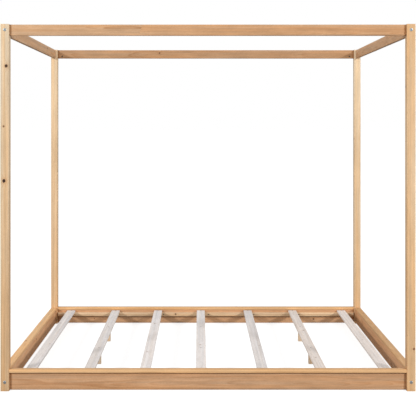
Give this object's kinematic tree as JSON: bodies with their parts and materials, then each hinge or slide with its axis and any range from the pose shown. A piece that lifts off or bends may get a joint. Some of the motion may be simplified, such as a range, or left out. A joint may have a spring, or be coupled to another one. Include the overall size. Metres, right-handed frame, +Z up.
{
  "type": "four poster canopy bed",
  "caption": "Low slatted pine bed frame for a queen mattress, with square corner posts that carry a plain rectangular canopy frame.",
  "frame": {"origin": "on the floor, under the middle of the bed", "axes": "+X along the length of the bed, -Y the front long side, +Z up from the floor to the canopy"},
  "size_m": [2.124, 1.616, 1.88],
  "materials": {
    "post_pine": "planed pine, thin matt oil",
    "rail_pine": "planed pine, thin matt oil",
    "board_pine": "planed pine, thin matt oil",
    "cap_pine": "planed pine, rounded edges",
    "ledger_pine": "planed pine, unfinished",
    "slat_wood": "pale planed softwood, unfinished",
    "leg_pine": "pale planed pine, unfinished",
    "dowel_beech": "fluted beech",
    "bolt_steel": "zinc-plated, satin",
    "screw_steel": "zinc-plated, satin"
  },
  "bodies": {
    "root": {"post_front_left": "post_pine", "post_front_right": "post_pine", "post_back_left": "post_pine", "post_back_right": "post_pine", "top_rail_front": "rail_pine", "side_board_front": "board_pine", "side_cap_front": "cap_pine", "slat_ledger_front": "ledger_pine", "top_rail_back": "rail_pine", "side_board_back": "board_pine", "side_cap_back": "cap_pine", "slat_ledger_back": "ledger_pine", "top_rail_left": "rail_pine", "end_board_left": "board_pine", "end_cap_left": "cap_pine", "top_rail_right": "rail_pine", "end_board_right": "board_pine", "end_cap_right": "cap_pine", "slat_1": "slat_wood", "slat_2": "slat_wood", "slat_3": "slat_wood", "slat_4": "slat_wood", "slat_5": "slat_wood", "slat_6": "slat_wood", "slat_7": "slat_wood", "support_leg_2_front": "leg_pine", "support_leg_2_back": "leg_pine", "support_leg_4_front": "leg_pine", "support_leg_4_back": "leg_pine", "support_leg_6_front": "leg_pine", "support_leg_6_back": "leg_pine", "end_rail_bolts": "bolt_steel", "side_rail_bolts": "bolt_steel", "barrel_nuts": "bolt_steel", "rail_dowels": "dowel_beech", "cap_dowels": "dowel_beech", "slat_screws": "screw_steel", "leg_screws": "screw_steel", "ledger_screws": "screw_steel"}
  },
  "joints": []
}
